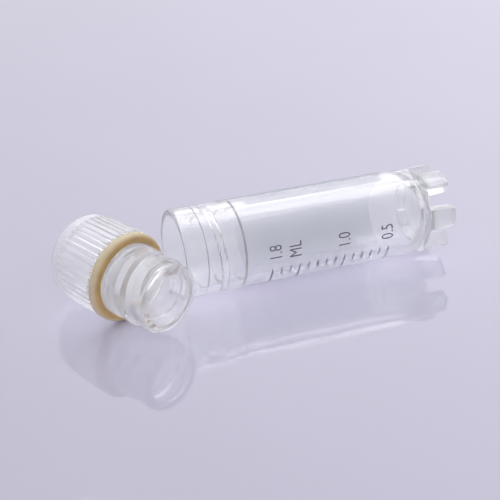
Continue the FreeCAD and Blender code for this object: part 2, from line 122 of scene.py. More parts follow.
class CapSettings(bpy.types.PropertyGroup):
    """Sizes and colours of the cap and its washer."""

    rib_count: bpy.props.IntProperty(
        name="Ribs", description="Grip ribs round the head", default=42, min=12, max=90,
        subtype="UNSIGNED",
    )
    rib_height: bpy.props.FloatProperty(
        name="Rib height", description="How far a rib stands out at the washer",
        default=0.29 * MM, unit="LENGTH", precision=5,
    )
    thread_height: bpy.props.FloatProperty(
        name="Ridge height", description="How far the plug's ridge stands out from its root",
        default=0.5 * MM, unit="LENGTH", precision=5,
    )
    tint: bpy.props.FloatVectorProperty(
        name="Cap tint", description="Colour of the cloudy plastic", default=(0.975, 0.977, 0.985),
        size=3, subtype="COLOR", min=0.0, max=1.0,
    )
    washer_colour: bpy.props.FloatVectorProperty(
        name="Washer colour", description="Colour of the silicone at the plug",
        default=(0.70, 0.47, 0.18), size=3, subtype="COLOR", min=0.0, max=1.0,
    )
    # Painted highlight: this pale tan is laid on the washer's outer edge, and the washer colour
    # above serves as the darker painted shade towards the neck.
    washer_highlight_colour: bpy.props.FloatVectorProperty(
        name="Washer edge colour", description="Colour of the silicone at its thin outer edge",
        default=(0.93, 0.81, 0.57), size=3, subtype="COLOR", min=0.0, max=1.0,
    )


class PrintSettings(bpy.types.PropertyGroup):
    """Sizes and colours of the ink on the tube."""

    numeral_size: bpy.props.FloatProperty(
        name="Numeral size", description="Height of the numerals", default=1.72 * MM,
        unit="LENGTH", precision=5,
    )
    ink_colour: bpy.props.FloatVectorProperty(
        name="Ink colour", description="Colour of the scale", default=(0.11, 0.11, 0.13),
        size=3, subtype="COLOR", min=0.0, max=1.0,
    )
    patch_colour: bpy.props.FloatVectorProperty(
        name="Patch colour", description="Colour of the patch to write on",
        default=(0.80, 0.81, 0.85), size=3, subtype="COLOR", min=0.0, max=1.0,
    )


class StageSettings(bpy.types.PropertyGroup):
    """The floor's colour and the camera's lens."""

    floor_colour: bpy.props.FloatVectorProperty(
        name="Floor colour", description="Colour of the floor",
        default=(0.60, 0.58, 0.70), size=3, subtype="COLOR", min=0.0, max=1.0,
    )
    lens: bpy.props.FloatProperty(
        name="Lens", description="Focal length of the camera", default=82.8, min=20.0, max=300.0,
        unit="CAMERA",
    )


# Shaping


def start_fresh():
    """Deselect every object and let edit mode pick points."""
    bpy.ops.object.select_all(action="DESELECT")
    bpy.context.tool_settings.mesh_select_mode = (True, False, False)


def pick(piece):
    """Select one piece alone and make it the active one."""
    start_fresh()
    piece.select_set(True)
    bpy.context.view_layer.objects.active = piece


def soften(outline, steps=4):
    """Round an outline's corners: each point is (along, out, radius of its rounding)."""
    points = []
    for number, (along, out, radius) in enumerate(outline):
        corner = Vector((along, out))
        if not radius or number in (0, len(outline) - 1):
            points.append(corner)
            continue
        before = Vector(outline[number - 1][:2]) - corner
        after = Vector(outline[number + 1][:2]) - corner
        half = before.angle(after) / 2
        longest = min(before.length, after.length) * 0.48
        reach = min(radius / math.tan(half), longest)
        bend = reach * math.tan(half)
        inwards = (before.normalized() + after.normalized()).normalized()
        centre = corner + inwards * (bend / math.sin(half))
        first = corner + before.normalized() * reach - centre
        last = corner + after.normalized() * reach - centre
        sweep = first.angle_signed(last)
        for step in range(steps + 1):
            points.append(centre + Matrix.Rotation(-sweep * step / steps, 2) @ first)
    return points


def arc(centre, radius, first_angle, last_angle, steps):
    """Return outline points on an arc, angles in degrees from the tube's axis."""
    points = []
    for step in range(steps + 1):
        angle = math.radians(first_angle + (last_angle - first_angle) * step / steps)
        points.append((centre + radius * math.cos(angle), radius * math.sin(angle), 0))
    return points


def run(first, last, radius, step):
    """Return evenly spaced outline points between two places on a straight wall."""
    count = max(1, round(abs(last - first) / step))
    return [(first + (last - first) * number / count, radius, 0) for number in range(count + 1)]


def spin_outline(name, outline, steps):
    """Draw an outline from a single point by extruding it, and spin it round the X axis."""
    start_fresh()
    points = soften(outline)
    first = Vector((points[0].x, points[0].y, 0))
    bpy.ops.mesh.primitive_plane_add(size=0.1 * MM, location=first)
    piece = bpy.context.object
    piece.name = name
    bpy.ops.object.mode_set(mode="EDIT")
    bpy.ops.mesh.select_all(action="SELECT")
    bpy.ops.mesh.merge(type="CENTER")
    last = first
    for point in points[1:]:
        place = Vector((point.x, point.y, 0))
        bpy.ops.mesh.extrude_region_move(TRANSFORM_OT_translate={"value": place - last})
        last = place
    bpy.ops.mesh.select_all(action="SELECT")
    bpy.ops.mesh.spin(steps=steps, angle=FULL_TURN, center=(0, 0, 0), axis=(1, 0, 0))
    bpy.ops.mesh.select_all(action="SELECT")
    bpy.ops.mesh.remove_doubles(threshold=0.002 * MM)
    bpy.ops.mesh.normals_make_consistent(inside=False)
    bpy.ops.object.mode_set(mode="OBJECT")
    bpy.ops.object.transform_apply(location=True, rotation=True, scale=True)
    return piece


def smooth_step(value):
    """Ease from 0 to 1."""
    value = min(1.0, max(0.0, value))
    return value * value * (3 - 2 * value)


def ridge_height(along, angle, ridge):
    """Return how high a thread's right-hand ridge stands at a place, its angle in radians."""
    height = 0.0
    total = FULL_TURN * ridge["turns"]
    turned = angle % FULL_TURN
    while turned <= total:
        middle = ridge["start"] + THREAD_PITCH * turned / FULL_TURN
        away = abs(along - middle)
        slope = 1 - (away - ridge["crest"] / 2) / (ridge["base"] / 2 - ridge["crest"] / 2)
        fade = smooth_step(turned / ridge["fade"]) * smooth_step((total - turned) / ridge["fade"])
        height = max(height, ridge["height"] * smooth_step(slope) * fade)
        turned += FULL_TURN
    return height


def shape_wall(piece, low, high, reshape):
    """Move a turned piece's points in or out between two places: reshape gives the new radius."""
    for vertex in piece.data.vertices:
        place = vertex.co
        if low <= place.x <= high:
            radius = math.hypot(place.y, place.z)
            angle = math.atan2(place.z, place.y)
            new_radius = reshape(place.x, angle, radius)
            if new_radius != radius:
                vertex.co = (place.x, place.y * new_radius / radius, place.z * new_radius / radius)
    piece.data.update()


def finish_piece(piece, body, material, smooth_angle=35):
    """Shade a piece, give it its material and its slot, and let it ride on its body."""
    pick(piece)
    bpy.ops.object.shade_smooth_by_angle(angle=math.radians(smooth_angle))
    piece.data.materials.clear()
    piece.data.materials.append(material)
    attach(piece, body)


def apply_modifier(piece, kind, **values):
    """Add one modifier to a piece, set it and apply it."""
    pick(piece)
    modifier = piece.modifiers.new(kind.title(), kind)
    for name, value in values.items():
        setattr(modifier, name, value)
    bpy.ops.object.modifier_apply(modifier=modifier.name)


def copy_piece(piece, name):
    """Copy a piece with a mesh of its own."""
    pick(piece)
    bpy.ops.object.duplicate(linked=False)
    twin = bpy.context.object
    twin.name = name
    return twin


def turn_about_tube(piece, angle):
    """Turn a piece's mesh about the tube's axis, from +Y towards +Z."""
    piece.data.transform(Matrix.Rotation(angle, 4, "X"))


def join_pieces(pieces):
    """Join pieces into the first one."""
    start_fresh()
    for piece in pieces:
        piece.select_set(True)
    bpy.context.view_layer.objects.active = pieces[0]
    bpy.ops.object.join()
    return pieces[0]


def remove_piece(piece):
    """Delete a piece that was only a tool."""
    pick(piece)
    bpy.ops.object.delete()


def wrap_on_barrel(piece, first_angle):
    """Wrap a flat layout round the barrel: X stays along the tube and Y goes round, clockwise."""
    for vertex in piece.data.vertices:
        angle = first_angle - vertex.co.y / INK_RADIUS
        out = INK_RADIUS + vertex.co.z
        vertex.co = (vertex.co.x, out * math.cos(angle), out * math.sin(angle))
    piece.data.update()


def cut_strips(piece, step):
    """Cut a flat layout into strips along X, so that it can bend round the tube."""
    pick(piece)
    rows = [corner[1] for corner in piece.bound_box]
    bpy.ops.object.mode_set(mode="EDIT")
    count = int((max(rows) - min(rows)) / step)
    for number in range(1, count + 1):
        bpy.ops.mesh.select_all(action="SELECT")
        bpy.ops.mesh.bisect(plane_co=(0, min(rows) + number * step, 0), plane_no=(0, 1, 0))
    bpy.ops.object.mode_set(mode="OBJECT")


def mark_share(piece, name, share_at):
    """Write a share from 0 to 1 on each of a piece's points, for its material to read."""
    share = piece.data.attributes.new(name, "FLOAT", "POINT")
    for number, vertex in enumerate(piece.data.vertices):
        share.data[number].value = share_at(vertex.co)


def lay_beside_mouth(piece):
    """Move a piece of the cap from its own axis to where the cap lies, by the plug neck's mount."""
    mount = find_mount("plug_neck")
    direction = Vector(mount["axis"])
    turn = math.atan2(direction.y, direction.x)
    closed_end = Vector(mount["pos_m"]) - direction * NECK_PLACE
    pick(piece)
    piece.rotation_euler = (0, 0, turn)
    piece.location = closed_end
    bpy.ops.object.transform_apply(location=True, rotation=True, scale=True)


# Materials


def new_material(name):
    """Make a material and return it with its nodes, links and shader."""
    material = bpy.data.materials.new(name)
    material.use_nodes = True
    nodes = material.node_tree.nodes
    return material, nodes, material.node_tree.links, nodes["Principled BSDF"]


def add_noise(nodes, links, scale, detail, stretch=(1, 1, 1)):
    """Add a noise that reads the piece's own coordinates and return its output."""
    coordinates = nodes.new("ShaderNodeTexCoord")
    mapping = nodes.new("ShaderNodeMapping")
    mapping.inputs["Scale"].default_value = stretch
    noise = nodes.new("ShaderNodeTexNoise")
    noise.inputs["Scale"].default_value = scale
    noise.inputs["Detail"].default_value = detail
    links.new(coordinates.outputs["Object"], mapping.inputs["Vector"])
    links.new(mapping.outputs["Vector"], noise.inputs["Vector"])
    return noise.outputs["Fac"]


def add_range(nodes, links, source, low, high, source_low=0.3, source_high=0.7):
    """Spread a value, such as a noise, over a range."""
    spread = nodes.new("ShaderNodeMapRange")
    spread.inputs["From Min"].default_value = source_low
    spread.inputs["From Max"].default_value = source_high
    spread.inputs["To Min"].default_value = low
    spread.inputs["To Max"].default_value = high
    links.new(source, spread.inputs["Value"])
    return spread.outputs["Result"]


def add_tones(nodes, links, source, dark, light):
    """Mix a dark and a light tone by a noise."""
    ramp = nodes.new("ShaderNodeValToRGB")
    ramp.color_ramp.elements[0].position = 0.35
    ramp.color_ramp.elements[1].position = 0.65
    ramp.color_ramp.elements[0].color = (*dark, 1)
    ramp.color_ramp.elements[1].color = (*light, 1)
    links.new(source, ramp.inputs["Fac"])
    return ramp.outputs["Color"]


def add_bump(nodes, links, source, shader, strength, distance):
    """Raise the surface a little by a noise."""
    bump = nodes.new("ShaderNodeBump")
    bump.inputs["Strength"].default_value = strength
    bump.inputs["Distance"].default_value = distance
    links.new(source, bump.inputs["Height"])
    links.new(bump.outputs["Normal"], shader.inputs["Normal"])


def shade(colour, factor):
    """Return a colour made darker or lighter."""
    return tuple(min(1.0, channel * factor) for channel in colour)


def let_light_through(material, shader, tint):
    """Let shadow rays pass, a little tinted, so that lamps light what lies behind."""
    nodes = material.node_tree.nodes
    links = material.node_tree.links
    path = nodes.new("ShaderNodeLightPath")
    clear = nodes.new("ShaderNodeBsdfTransparent")
    clear.inputs["Color"].default_value = (*tint, 1)
    mix = nodes.new("ShaderNodeMixShader")
    links.new(path.outputs["Is Shadow Ray"], mix.inputs["Fac"])
    links.new(shader.outputs[0], mix.inputs[1])
    links.new(clear.outputs["BSDF"], mix.inputs[2])
    links.new(mix.outputs["Shader"], nodes["Material Output"].inputs["Surface"])


def let_light_glow(material, shader, colour, share):
    """Scatter a share of the light that comes from behind, as thin or hazy plastic and ink do."""
    nodes = material.node_tree.nodes
    links = material.node_tree.links
    glow = nodes.new("ShaderNodeBsdfTranslucent")
    glow.inputs["Color"].default_value = (*colour, 1)
    mix = nodes.new("ShaderNodeMixShader")
    mix.inputs["Fac"].default_value = share
    links.new(shader.outputs["BSDF"], mix.inputs[1])
    links.new(glow.outputs["BSDF"], mix.inputs[2])
    return mix


def clear_plastic(tint):
    """Clear moulded polypropylene with faint flow lines, cloudier in its thick bottom and foot."""
    material, nodes, links, shader = new_material("clear_polypropylene")
    coordinates = nodes.new("ShaderNodeTexCoord")
    split = nodes.new("ShaderNodeSeparateXYZ")
    clearness = nodes.new("ShaderNodeValToRGB")
    ramp = clearness.color_ramp
    ramp_length = 45
    for place, value in ((35.9, 0.91), (36.8, 0.66)):
        element = ramp.elements.new(place / ramp_length)
        element.color = (value, value, value, 1)
    ramp.elements.remove(ramp.elements[0])
    ramp.elements.remove(ramp.elements[len(ramp.elements) - 1])
    links.new(coordinates.outputs["Object"], split.inputs["Vector"])
    along = add_range(nodes, links, split.outputs["X"], 0.0, 1.0, 0.0, ramp_length * MM)
    links.new(along, clearness.inputs["Fac"])
    links.new(clearness.outputs["Color"], shader.inputs["Transmission Weight"])
    shader.inputs["IOR"].default_value = 1.45
    flow = add_noise(nodes, links, 260, 3, (0.25, 1, 1))
    haze = add_noise(nodes, links, 900, 2)
    tones = add_tones(nodes, links, haze, shade(tint, 0.985), tint)
    links.new(tones, shader.inputs["Base Color"])
    links.new(add_range(nodes, links, haze, 0.015, 0.05), shader.inputs["Roughness"])
    add_bump(nodes, links, flow, shader, 0.12, 0.05 * MM)
    hazy = let_light_glow(material, shader, tint, 0.055)
    let_light_through(material, hazy, (0.93, 0.93, 0.94))
    return material


def cloudy_plastic(tint):
    """Natural polypropylene with a finely frosted surface, cloudier in the ribbed head."""
    material, nodes, links, shader = new_material("cap_polypropylene")
    head = nodes.new("ShaderNodeAttribute")
    head.attribute_name = "head_share"
    clearness = add_range(nodes, links, head.outputs["Fac"], 0.85, 0.77, 0.0, 1.0)
    links.new(clearness, shader.inputs["Transmission Weight"])
    shader.inputs["IOR"].default_value = 1.45
    cloud = add_noise(nodes, links, 340, 4)
    frost = add_noise(nodes, links, 2600, 2)
    tones = add_tones(nodes, links, cloud, shade(tint, 0.965), tint)
    links.new(tones, shader.inputs["Base Color"])
    links.new(add_range(nodes, links, cloud, 0.10, 0.16), shader.inputs["Roughness"])
    add_bump(nodes, links, frost, shader, 0.10, 0.01 * MM)
    hazy = let_light_glow(material, shader, tint, 0.06)
    let_light_through(material, hazy, (0.92, 0.92, 0.93))
    return material


def silicone(colour, highlight_colour):
    """Tan silicone with a mottled tone and a dull surface, painted darker towards the neck as shade
    and paler at its outer edge as a highlight.
    """
    material, nodes, links, shader = new_material("silicone")
    shader.inputs["Transmission Weight"].default_value = 0.15
    shader.inputs["IOR"].default_value = 1.41
    shader.inputs["Subsurface Weight"].default_value = 0.35
    shader.inputs["Subsurface Radius"].default_value = (1.0, 0.55, 0.25)
    shader.inputs["Subsurface Scale"].default_value = 0.6 * MM
    mottle = add_noise(nodes, links, 700, 3)
    grain = add_noise(nodes, links, 4200, 2)
    place = nodes.new("ShaderNodeAttribute")
    place.attribute_name = "highlight_share"
    mix = nodes.new("ShaderNodeMix")
    mix.data_type = "RGBA"
    links.new(place.outputs["Fac"], mix.inputs["Factor"])
    # Painted shade and highlight: the darker tan towards the neck and the pale tan at the outer
    # edge, mixed by the highlight share.
    inner = add_tones(nodes, links, mottle, shade(colour, 0.88), shade(colour, 1.08))
    outer = add_tones(nodes, links, mottle, shade(highlight_colour, 0.95), highlight_colour)
    links.new(inner, mix.inputs["A"])
    links.new(outer, mix.inputs["B"])
    links.new(mix.outputs["Result"], shader.inputs["Base Color"])
    links.new(add_range(nodes, links, grain, 0.38, 0.55), shader.inputs["Roughness"])
    add_bump(nodes, links, grain, shader, 0.2, 0.01 * MM)
    return material


def ink(name, colour, roughness, grain_size):
    """Printed ink with a slightly uneven tone: return its material and its shader."""
    material, nodes, links, shader = new_material(name)
    grain = add_noise(nodes, links, 1 / grain_size, 3)
    tones = add_tones(nodes, links, grain, shade(colour, 0.93), shade(colour, 1.04))
    links.new(tones, shader.inputs["Base Color"])
    dullness = add_range(nodes, links, grain, roughness - 0.08, roughness + 0.08)
    links.new(dullness, shader.inputs["Roughness"])
    add_bump(nodes, links, grain, shader, 0.15, 0.006 * MM)
    return material, shader


def thin_white_ink(colour):
    """White ink printed so thin that light from outside glows through it."""
    material, shader = ink("white_ink", colour, 0.55, 0.12 * MM)
    thin = let_light_glow(material, shader, colour, 0.62)
    let_light_through(material, thin, (0.78, 0.78, 0.80))
    return material


# Operators


class CRYOVIAL_OT_tube(bpy.types.Operator):
    """Model the clear tube: barrel, threaded mouth, round bottom and star foot"""

    bl_idname = "cryovial.tube"
    bl_label = "Tube"

    def execute(self, context):
        settings = context.scene.cryovial_tube
        foot_radius = BARREL_RADIUS - 0.1 * MM
        barrel_end = 36.3 * MM
        chamber_radius = 4.86 * MM
        chamber_start = 8.73 * MM
        chamber_end = 33.1 * MM
        dome_radius = 6.11 * MM
        bore_radius = MOUTH_RADIUS - 0.2 * MM
        bore_end = 8.33 * MM
        edge_angle = math.degrees(math.acos((barrel_end - chamber_end) / dome_radius))
        outline = arc(chamber_end, dome_radius, 0, edge_angle, 14)
        outline += [
            (barrel_end, foot_radius, 0.2 * MM),
            (24 * MM, BARREL_RADIUS - 0.055 * MM, 0),
            (12 * MM, BARREL_RADIUS - 0.02 * MM, 0),
            (1.2 * MM, BARREL_RADIUS, 0),
            (TUBE_LOW.x, BARREL_RADIUS, 0.32 * MM),
            (TUBE_LOW.x, MOUTH_RADIUS, 0.22 * MM),
            (1.0 * MM, MOUTH_RADIUS, 0),
            (3.0 * MM, MOUTH_RADIUS, 0.1 * MM),
        ]
        outline += run(3.2 * MM, 8.1 * MM, bore_radius, 0.09 * MM)
        outline += [
            (bore_end, bore_radius, 0.12 * MM),
            (chamber_start, chamber_radius, 0.12 * MM),
            (20 * MM, chamber_radius, 0),
        ]
        outline += arc(chamber_end, chamber_radius, 90, 0, 20)
        tube = spin_outline("vial_tube", outline, settings.steps)
        ridge = {
            "start": 3.95 * MM,
            "turns": 1.2,
            "base": 1.25 * MM,
            "crest": 0.5 * MM,
            "height": settings.thread_height,
            "fade": math.radians(35),
        }

        def mouth_wall(along, angle, radius):
            if abs(radius - bore_radius) > 0.01 * MM:
                return radius
            return radius - ridge_height(along, angle, ridge)

        shape_wall(tube, 3.1 * MM, 8.3 * MM, mouth_wall)
        fins = self.make_fins(barrel_end, foot_radius, settings.fin_edge)
        apply_modifier(tube, "BOOLEAN", operation="UNION", object=fins, solver="EXACT")
        remove_piece(fins)
        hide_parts("tube")
        finish_piece(tube, "tube", clear_plastic(settings.tint))
        return {"FINISHED"}

    def make_fins(self, barrel_end, foot_radius, edge):
        """Shape one fin from a block, round its outer side, and set its copies round the foot."""
        start_fresh()
        fin_count = 6
        first_turn = 49
        slices = 12
        start = barrel_end - 0.7 * MM
        end = TUBE_HIGH.x
        inner = 3.9 * MM
        outer = foot_radius - 0.012 * MM
        width = 3.1 * MM
        middle = Vector(((start + end) / 2, (inner + outer) / 2, 0))
        bpy.ops.mesh.primitive_cube_add(size=1, location=middle)
        fin = bpy.context.object
        fin.name = "foot_fin"
        fin.scale = (end - start, outer - inner, width)
        bpy.ops.object.transform_apply(location=True, rotation=True, scale=True)
        bpy.ops.object.mode_set(mode="EDIT")
        for number in range(1, slices):
            cut = -width / 2 + width * number / slices
            bpy.ops.mesh.select_all(action="SELECT")
            bpy.ops.mesh.bisect(plane_co=(0, 0, cut), plane_no=(0, 0, 1))
        bpy.ops.object.mode_set(mode="OBJECT")
        for vertex in fin.data.vertices:
            share = (vertex.co.x - start) / (end - start)
            across = vertex.co.z * (1 - 0.11 * share)
            if vertex.co.y > middle.y:
                out = math.sqrt(outer ** 2 - across ** 2)
            else:
                out = inner + 0.18 * MM * share
            vertex.co = (vertex.co.x, out, across)
        apply_modifier(fin, "BEVEL", width=edge, segments=3, limit_method="ANGLE",
                       angle_limit=math.radians(40))
        fins = [fin]
        fins += [copy_piece(fin, f"foot_fin_{number}") for number in range(fin_count - 1)]
        for number, twin in enumerate(fins):
            turn_about_tube(twin, math.radians(first_turn + 360 * number / fin_count))
        return join_pieces(fins)


class CRYOVIAL_OT_cap(bpy.types.Operator):
    """Model the cap: ribbed head, washer seat, threaded plug and both hollows"""

    bl_idname = "cryovial.cap"
    bl_label = "Cap"

    def execute(self, context):
        settings = context.scene.cryovial_cap
        head_radius = 5.92 * MM
        end_radius = head_radius - 0.09 * MM
        root_radius = 4.45 * MM
        outline = self.draw_hollow_end(end_radius)
        outline.append((1.75 * MM, end_radius, 0))
        outline += run(1.8 * MM, 2.3 * MM, head_radius - 0.08 * MM, 0.1 * MM)
        outline += [
            (4.0 * MM, head_radius - 0.05 * MM, 0),
            (6.4 * MM, head_radius - 0.02 * MM, 0),
            (8.55 * MM, head_radius, 0),
            (CAP_SEAT, head_radius, 0.12 * MM),
        ]
        outline += self.draw_plug(root_radius)
        cap = spin_outline("screw_cap", outline, settings.rib_count * 12)
        ridge = {
            "start": 11.73 * MM,
            "turns": 1.47,
            "base": 2.0 * MM,
            "crest": 1.05 * MM,
            "height": settings.thread_height,
            "fade": math.radians(50),
        }
        bore_limit = 4.2 * MM

        def plug_wall(along, angle, radius):
            if radius < bore_limit:
                return radius
            return max(radius, root_radius + ridge_height(along, angle, ridge))

        shape_wall(cap, 10.9 * MM, 17.3 * MM, plug_wall)
        rib_start = 1.8 * MM
        half_rib = 0.29
        rib_slope = 0.13

        def ribbed_wall(along, angle, radius):
            if radius < head_radius - 0.2 * MM:
                return radius
            part = (angle * settings.rib_count / FULL_TURN + 0.5) % 1.0
            crest = smooth_step((half_rib - abs(part - 0.5)) / rib_slope)
            ramp = smooth_step((along - rib_start) / (0.35 * MM))
            height = settings.rib_height * (0.6 + 0.4 * along / CAP_SEAT)
            return radius + height * crest * ramp

        shape_wall(cap, 1.82 * MM, 8.72 * MM, ribbed_wall)

        def head_share(place):
            return smooth_step((CAP_SEAT + 0.4 * MM - place.x) / (0.4 * MM))

        mark_share(cap, "head_share", head_share)
        lay_beside_mouth(cap)
        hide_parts("cap")
        material = cloudy_plastic(settings.tint)
        finish_piece(cap, "cap", material, smooth_angle=40)
        return {"FINISHED"}

    def draw_hollow_end(self, end_radius):
        """Return the head's hollow, the recess in its end and the rounding of that end."""
        hollow_depth = 8.4 * MM
        hollow_radius = 4.35 * MM
        recess_depth = 1.7 * MM
        recess_radius = 4.85 * MM
        rounding = 1.1 * MM
        steps = 14
        outline = [
            (hollow_depth, 0, 0),
            (hollow_depth, hollow_radius, 0.3 * MM),
            (recess_depth, hollow_radius, 0.12 * MM),
            (recess_depth, recess_radius, 0.1 * MM),
            (0, recess_radius, 0),
        ]
        for number in range(steps + 1):
            turn = math.radians(90) * (0.06 + 0.94 * number / steps)
            along = rounding - rounding * math.cos(turn)
            outline.append((along, end_radius - rounding + rounding * math.sin(turn), 0))
        return outline

    def draw_plug(self, root_radius):
        """Return the plug: washer's groove, neck, thread's root, rim and bore."""
        groove_radius = 4.75 * MM
        groove_end = 10.0 * MM
        neck_end = 11.1 * MM
        taper = 0.9 * MM
        rim_radius = 4.68 * MM
        plug_end = 17.6 * MM
        bore_floor = 9.6 * MM
        outline = [
            (CAP_SEAT, groove_radius, 0.05 * MM),
            (groove_end, groove_radius, 0.03 * MM),
            (groove_end, NECK_RADIUS, 0.06 * MM),
            (11.0 * MM, NECK_RADIUS, 0),
        ]
        for number in range(10):
            along = neck_end + 0.1 * MM * number
            drop = (NECK_RADIUS - root_radius) * smooth_step((along - neck_end) / taper)
            outline.append((along, NECK_RADIUS - drop, 0))
        outline += run(12.1 * MM, 16.6 * MM, root_radius, 0.09 * MM)
        outline += [
            (16.75 * MM, root_radius, 0.08 * MM),
            (16.95 * MM, rim_radius, 0.1 * MM),
            (17.34 * MM, rim_radius, 0.11 * MM),
            (plug_end, 4.42 * MM, 0.11 * MM),
            (plug_end, 3.42 * MM, 0.2 * MM),
            (bore_floor, 3.36 * MM, 0.5 * MM),
            (bore_floor, 0, 0),
        ]
        return outline


class CRYOVIAL_OT_washer(bpy.types.Operator):
    """Model the silicone washer on the plug's seat"""

    bl_idname = "cryovial.washer"
    bl_label = "Washer"

    def execute(self, context):
        settings = context.scene.cryovial_cap
        inner = 4.77 * MM
        outer = 6.19 * MM
        back = CAP_SEAT + 0.01 * MM
        front = 9.99 * MM
        seam = 9.4 * MM
        outline = [
            (seam, inner, 0),
            (back, inner, 0.1 * MM),
            (back, outer, 0.25 * MM),
            (front, outer, 0.55 * MM),
            (front, inner, 0.08 * MM),
            (seam, inner, 0),
        ]
        washer = spin_outline("seal_washer", outline, 180)

        # Share of painted highlight: 0 on the inner part, which keeps the darker painted shade, and
        # 1 at the outer edge.
        def highlight_share(place):
            return smooth_step((math.hypot(place.y, place.z) - 5.5 * MM) / (0.75 * MM))

        mark_share(washer, "highlight_share", highlight_share)
        lay_beside_mouth(washer)
        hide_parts("washer")
        material = silicone(settings.washer_colour, settings.washer_highlight_colour)
        finish_piece(washer, "cap", material)
        return {"FINISHED"}


class CRYOVIAL_OT_patch(bpy.types.Operator):
    """Print the white patch to write on"""

    bl_idname = "cryovial.patch"
    bl_label = "Writing patch"

    def execute(self, context):
        settings = context.scene.cryovial_print
        start_fresh()
        film = 0.035 * MM
        reach_round = math.radians(154)
        length = PATCH_HIGH.x - PATCH_LOW.x
        width = INK_RADIUS * reach_round
        middle = ((PATCH_LOW.x + PATCH_HIGH.x) / 2, 0, 0)
        bpy.ops.mesh.primitive_plane_add(size=1, location=middle)
        patch = bpy.context.object
        patch.name = "write_on_patch"
        patch.scale = (length, width, 1)
        bpy.ops.object.transform_apply(location=True, rotation=True, scale=True)
        bpy.ops.object.mode_set(mode="EDIT")
        bpy.ops.mesh.select_all(action="SELECT")
        bpy.ops.mesh.bevel(offset=0.9 * MM, segments=8, affect="VERTICES")
        bpy.ops.mesh.select_all(action="SELECT")
        bpy.ops.mesh.extrude_region_move(TRANSFORM_OT_translate={"value": (0, 0, film)})
        bpy.ops.mesh.select_all(action="SELECT")
        bpy.ops.mesh.normals_make_consistent(inside=False)
        bpy.ops.object.mode_set(mode="OBJECT")
        cut_strips(patch, 0.3 * MM)
        wrap_on_barrel(patch, 0.0)
        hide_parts("writing_patch")
        finish_piece(patch, "tube", thin_white_ink(settings.patch_colour))
        return {"FINISHED"}


class CRYOVIAL_OT_scale(bpy.types.Operator):
    """Print the scale: its marks, its numerals and the unit"""

    bl_idname = "cryovial.scale"
    bl_label = "Scale"

    def execute(self, context):
        settings = context.scene.cryovial_print
        line = 0.16 * MM
        mark_count = 14
        long_marks = (0, 3, 8, 13)
        words = (("1.8", 12.55), ("ML", 15.45), ("1.0", 22.75), ("0.5", 29.3))
        top_mark = SCALE_LOW.x + line / 2
        bottom_mark = SCALE_HIGH.x - line / 2
        pieces = []
        for number in range(mark_count):
            along = top_mark + (bottom_mark - top_mark) * number / (mark_count - 1)
            angle = 28 if number in long_marks else 13
            pieces.append(self.make_mark(along, angle, line))
        for text, along in words:
            pieces.append(self.make_word(text, along * MM, settings.numeral_size))
        scale = join_pieces(pieces)
        scale.name = "printed_scale"
        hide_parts("graduation")
        material, _ = ink("dark_ink", settings.ink_colour, 0.45, 0.09 * MM)
        finish_piece(scale, "tube", material)
        return {"FINISHED"}

    def make_mark(self, along, angle, line):
        """Make one mark as a thin bar and wrap it on the barrel, from its upper end downwards."""
        start_fresh()
        film = 0.02 * MM
        width = INK_RADIUS * math.radians(angle)
        bpy.ops.mesh.primitive_cube_add(size=1, location=(along, -width / 2, film / 2))
        mark = bpy.context.object
        mark.scale = (line, width, film)
        bpy.ops.object.transform_apply(location=True, rotation=True, scale=True)
        cut_strips(mark, 0.25 * MM)
        wrap_on_barrel(mark, math.radians(194))
        return mark

    def make_word(self, text, along, size):
        """Set a numeral or the unit across the tube, its tops towards the mouth."""
        start_fresh()
        size_for_height = 1.37
        thinning = 0.022 * MM
        half_film = 0.009 * MM
        lift = 0.01 * MM
        bpy.ops.object.text_add(location=(0, 0, 0))
        word = bpy.context.object
        word.data.body = text
        word.data.align_x = "CENTER"
        word.data.align_y = "CENTER"
        word.data.size = size * size_for_height
        word.data.offset = -thinning
        word.data.extrude = half_film
        word.data.resolution_u = 5
        bpy.ops.object.convert(target="MESH")
        word = bpy.context.object
        word.scale = (0.80, 1.1, 1)
        word.rotation_euler = (0, 0, math.radians(90))
        word.location = (along, 0, lift)
        bpy.ops.object.transform_apply(location=True, rotation=True, scale=True)
        cut_strips(word, 0.2 * MM)
        wrap_on_barrel(word, math.radians(171))
        return word


